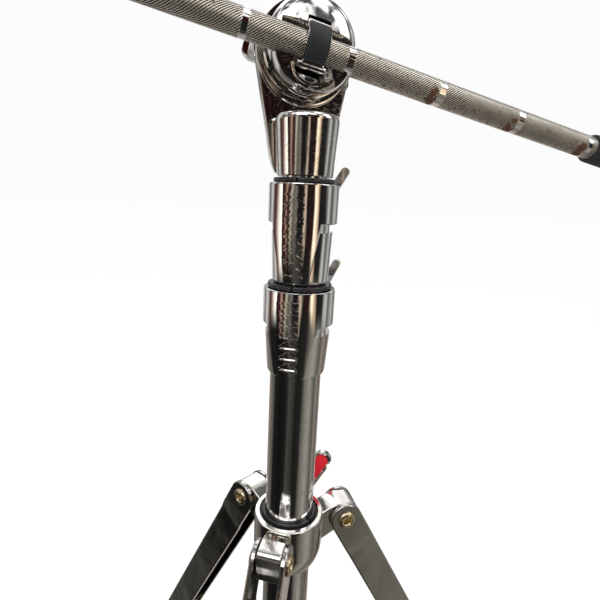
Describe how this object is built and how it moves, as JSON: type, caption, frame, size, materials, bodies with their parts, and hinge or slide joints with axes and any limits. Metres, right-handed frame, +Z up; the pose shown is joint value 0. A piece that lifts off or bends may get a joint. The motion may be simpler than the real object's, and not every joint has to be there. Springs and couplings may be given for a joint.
{
  "type": "cymbal boom stand",
  "caption": "Folding tripod stand with telescoping clamped tubes and a tilting, sliding knurled boom that carries a cymbal between two felts.",
  "frame": {"origin": "on the floor, on the axis of the telescoping tubes", "axes": "+Z up along the tubes; +X along leg 1, below the tail of the boom; the cymbal end of the boom points to -X; the boom is on the -Y side of the tilter"},
  "size_m": [0.5394, 0.4794, 0.8217],
  "materials": {
    "tube_chrome": "bright chrome plating on steel tube",
    "collar_chrome": "bright chrome plating on die casting",
    "bracket_chrome": "chrome plating over a slightly rough casting",
    "tilter_chrome": "bright chrome plating, small casting marks",
    "leg_chrome": "chrome plating on pressed sheet, lightly scuffed",
    "knurled_steel": "knurled, plated, dull with specks of rust",
    "steel": "plain zinc-plated steel",
    "rivet": "plated hollow rivets, yellowed",
    "nylon": "dark moulded nylon",
    "pad": "black coating, matt with fine scuffs",
    "red_inlay": "red moulded insert",
    "rubber": "black moulded rubber",
    "felt": "pressed grey felt"
  },
  "bodies": {
    "base": {"base_tube": "tube_chrome", "tube_end_plug": "rubber", "lower_bracket": "bracket_chrome", "lower_bracket_screw": "steel", "lower_collar": "collar_chrome", "lower_collar_bushing": "nylon", "leg_1_lower_pin": "rivet", "leg_2_lower_pin": "rivet", "leg_3_lower_pin": "rivet"},
    "lower_wing": {"lower_collar_wing_bolt": "collar_chrome"},
    "slider": {"leg_bracket": "bracket_chrome", "leg_bracket_bushing": "nylon", "leg_1_pivot_rivet": "rivet", "leg_2_pivot_rivet": "rivet", "leg_3_pivot_rivet": "rivet"},
    "bracket_wing": {"bracket_wing_bolt": "collar_chrome", "bracket_wing_inlay": "red_inlay"},
    "leg_1": {"leg_1": "leg_chrome", "leg_1_foot": "rubber", "leg_1_brace_rivet": "rivet"},
    "leg_2": {"leg_2": "leg_chrome", "leg_2_foot": "rubber", "leg_2_brace_rivet": "rivet"},
    "leg_3": {"leg_3": "leg_chrome", "leg_3_foot": "rubber", "leg_3_brace_rivet": "rivet"},
    "brace_1": {"leg_1_brace": "leg_chrome"},
    "brace_2": {"leg_2_brace": "leg_chrome"},
    "brace_3": {"leg_3_brace": "leg_chrome"},
    "mid": {"mid_tube": "tube_chrome", "mid_collar": "collar_chrome", "mid_collar_bushing": "nylon"},
    "mid_wing": {"mid_collar_wing_bolt": "collar_chrome"},
    "top": {"top_tube": "tube_chrome"},
    "tilter": {"tilter_socket": "tilter_chrome", "tilter_set_screw": "steel", "tilter_ratchet": "nylon", "tilter_washer": "steel"},
    "head": {"tilter_head": "tilter_chrome", "tilter_eye_bolt": "tilter_chrome", "tilter_eye_pad": "pad"},
    "tilter_nut": {"tilter_wing_nut": "tilter_chrome"},
    "boom": {"boom_rod": "knurled_steel", "boom_end_cap": "rubber", "seat_clamp": "tilter_chrome"},
    "seat": {"seat_knuckle": "tilter_chrome", "seat_post": "steel", "seat_washer": "tilter_chrome", "lower_felt": "felt", "seat_sleeve": "nylon", "upper_felt": "felt"},
    "seat_bolt": {"seat_wing_bolt": "tilter_chrome"},
    "seat_nut": {"seat_wing_nut": "tilter_chrome"}
  },
  "joints": [
    {"name": "tripod_fold", "type": "slide", "parent": "base", "child": "slider", "axis": [0, 0, 1], "range_m": [0, 0.0523]},
    {"name": "bracket_wing_turn", "type": "hinge", "parent": "slider", "child": "bracket_wing", "pos_m": [0.01315, 0.02278, 0.4205], "axis": [0.5, 0.866, 0], "continuous": true},
    {"name": "leg_1_hinge", "type": "hinge", "parent": "slider", "child": "leg_1", "pos_m": [0.0345, 0, 0.4256], "axis": [0, 1, 0], "range_deg": [0, 26.7]},
    {"name": "brace_1_hinge", "type": "hinge", "parent": "leg_1", "child": "brace_1", "pos_m": [0.13727, 0, 0.23789], "axis": [0, 1, 0], "range_deg": [-53.4, 0]},
    {"name": "leg_2_hinge", "type": "hinge", "parent": "slider", "child": "leg_2", "pos_m": [-0.01725, 0.02988, 0.4256], "axis": [-0.866, -0.5, 0], "range_deg": [0, 26.7]},
    {"name": "brace_2_hinge", "type": "hinge", "parent": "leg_2", "child": "brace_2", "pos_m": [-0.06863, 0.11888, 0.23789], "axis": [-0.866, -0.5, 0], "range_deg": [-53.4, 0]},
    {"name": "leg_3_hinge", "type": "hinge", "parent": "slider", "child": "leg_3", "pos_m": [-0.01725, -0.02988, 0.4256], "axis": [0.866, -0.5, 0], "range_deg": [0, 26.7]},
    {"name": "brace_3_hinge", "type": "hinge", "parent": "leg_3", "child": "brace_3", "pos_m": [-0.06863, -0.11888, 0.23789], "axis": [0.866, -0.5, 0], "range_deg": [-53.4, 0]},
    {"name": "lower_wing_turn", "type": "hinge", "parent": "base", "child": "lower_wing", "pos_m": [0.0126, 0.02182, 0.551], "axis": [0.5, 0.866, 0], "continuous": true},
    {"name": "mid_slide", "type": "slide", "parent": "base", "child": "mid", "axis": [0, 0, 1], "range_m": [0, 0.38]},
    {"name": "mid_wing_turn", "type": "hinge", "parent": "mid", "child": "mid_wing", "pos_m": [0.01005, 0.01741, 0.604], "axis": [0.5, 0.866, 0], "continuous": true},
    {"name": "top_slide", "type": "slide", "parent": "mid", "child": "top", "axis": [0, 0, 1], "range_m": [0, 0.38]},
    {"name": "boom_swivel", "type": "hinge", "parent": "top", "child": "tilter", "pos_m": [0, 0, 0.642], "axis": [0, 0, 1], "continuous": true},
    {"name": "boom_tilt", "type": "hinge", "parent": "tilter", "child": "head", "pos_m": [0, 0, 0.6845], "axis": [0, 1, 0], "range_deg": [-52, 36]},
    {"name": "tilter_nut_turn", "type": "hinge", "parent": "head", "child": "tilter_nut", "pos_m": [0, 0.0163, 0.6845], "axis": [0, 1, 0], "continuous": true},
    {"name": "boom_slide", "type": "slide", "parent": "head", "child": "boom", "axis": [-0.9842, 0, 0.1771], "range_m": [-0.185, 0.15]},
    {"name": "seat_tilt", "type": "hinge", "parent": "boom", "child": "seat", "pos_m": [-0.25097, -0.006, 0.72966], "axis": [0, 1, 0], "range_deg": [-80, 30]},
    {"name": "seat_bolt_turn", "type": "hinge", "parent": "boom", "child": "seat_bolt", "pos_m": [-0.25097, -0.015, 0.72966], "axis": [0, 1, 0], "continuous": true},
    {"name": "seat_nut_turn", "type": "hinge", "parent": "seat", "child": "seat_nut", "pos_m": [-0.25097, -0.006, 0.79066], "axis": [0, 0, 1], "continuous": true}
  ],
  "couplings": [
    {"joint": "leg_1_hinge", "follows": "tripod_fold", "rad_per_m": 8.91},
    {"joint": "brace_1_hinge", "follows": "tripod_fold", "rad_per_m": -17.82},
    {"joint": "leg_2_hinge", "follows": "tripod_fold", "rad_per_m": 8.91},
    {"joint": "brace_2_hinge", "follows": "tripod_fold", "rad_per_m": -17.82},
    {"joint": "leg_3_hinge", "follows": "tripod_fold", "rad_per_m": 8.91},
    {"joint": "brace_3_hinge", "follows": "tripod_fold", "rad_per_m": -17.82}
  ]
}
